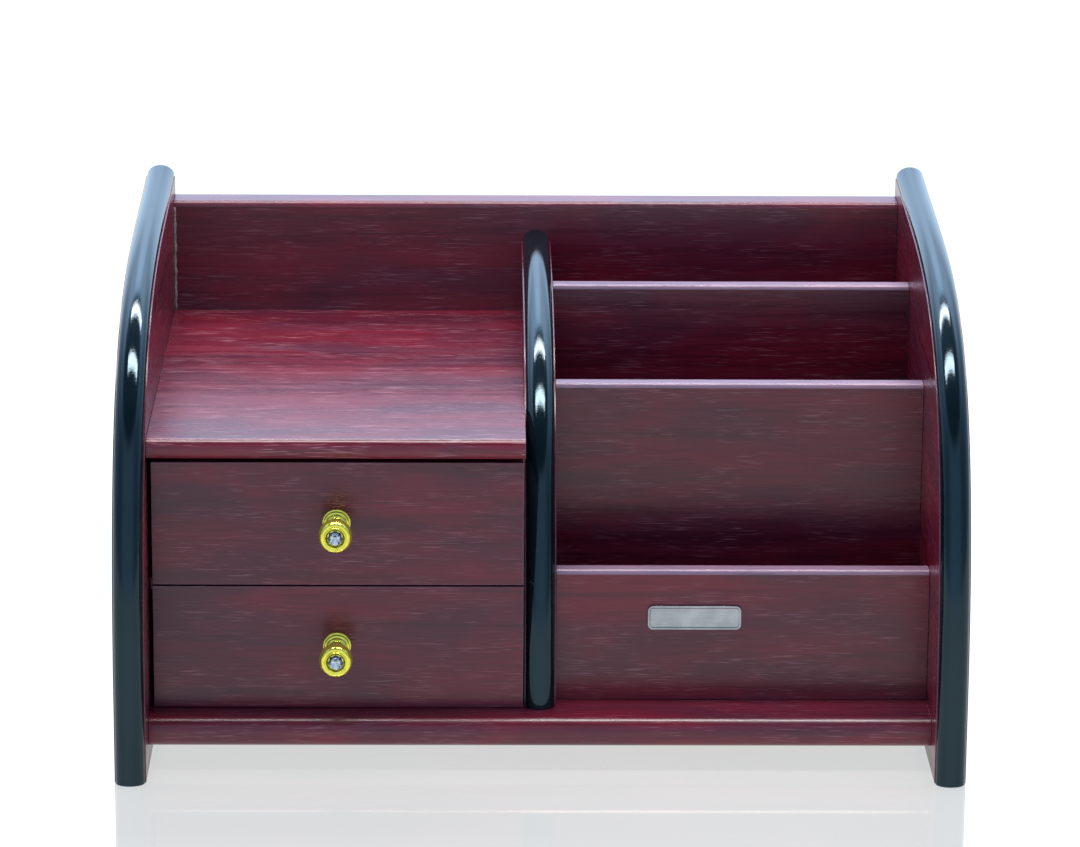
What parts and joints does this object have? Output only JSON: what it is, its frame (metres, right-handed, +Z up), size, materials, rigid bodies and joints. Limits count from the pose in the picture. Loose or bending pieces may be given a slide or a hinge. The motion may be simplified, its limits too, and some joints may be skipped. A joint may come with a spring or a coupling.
{
  "type": "desk organizer",
  "caption": "Mahogany-look desk organizer with curved sides in glossy black edge trim, stacked drawers on the left under a shelf and stepped open compartments on the right.",
  "frame": {"origin": "on the resting surface, under the centre of the bounding box", "axes": "+X to the right seen from the front, +Y from the drawer fronts to the back panel, +Z up"},
  "size_m": [0.324, 0.24, 0.1867],
  "materials": {
    "laminate": "satin mahogany-grain melamine",
    "black_trim": "high gloss",
    "hardboard": "matte pressed board",
    "beech": "raw",
    "brass": "polished",
    "crystal": "clear cut",
    "steel": "zinc plated",
    "satin_silver": "satin"
  },
  "bodies": {
    "case": {"left_side_panel": "laminate", "right_side_panel": "laminate", "centre_divider": "laminate", "left_edge_trim": "black_trim", "right_edge_trim": "black_trim", "divider_edge_trim": "black_trim", "bottom_board": "laminate", "back_panel": "laminate", "drawer_bay_shelf": "laminate", "drawer_runner_board": "laminate", "front_board": "laminate", "middle_partition": "laminate", "rear_partition": "laminate", "nameplate": "satin_silver", "left_bottom_front_dowel": "beech", "left_bottom_rear_dowel": "beech", "left_back_lower_dowel": "beech", "left_back_upper_dowel": "beech", "right_bottom_front_dowel": "beech", "right_bottom_rear_dowel": "beech", "right_back_lower_dowel": "beech", "right_back_upper_dowel": "beech", "divider_front_dowel": "beech", "divider_rear_dowel": "beech"},
    "upper_drawer": {"upper_drawer_front": "laminate", "upper_drawer_left_side": "laminate", "upper_drawer_right_side": "laminate", "upper_drawer_back": "laminate", "upper_drawer_floor": "hardboard", "upper_knob": "brass", "upper_knob_crystal": "crystal", "upper_knob_screw": "steel"},
    "lower_drawer": {"lower_drawer_front": "laminate", "lower_drawer_left_side": "laminate", "lower_drawer_right_side": "laminate", "lower_drawer_back": "laminate", "lower_drawer_floor": "hardboard", "lower_knob": "brass", "lower_knob_crystal": "crystal", "lower_knob_screw": "steel"}
  },
  "joints": [
    {"name": "upper_drawer_slide", "type": "slide", "parent": "case", "child": "upper_drawer", "axis": [0, -1, 0], "range_m": [0, 0.13]},
    {"name": "lower_drawer_slide", "type": "slide", "parent": "case", "child": "lower_drawer", "axis": [0, -1, 0], "range_m": [0, 0.13]}
  ]
}
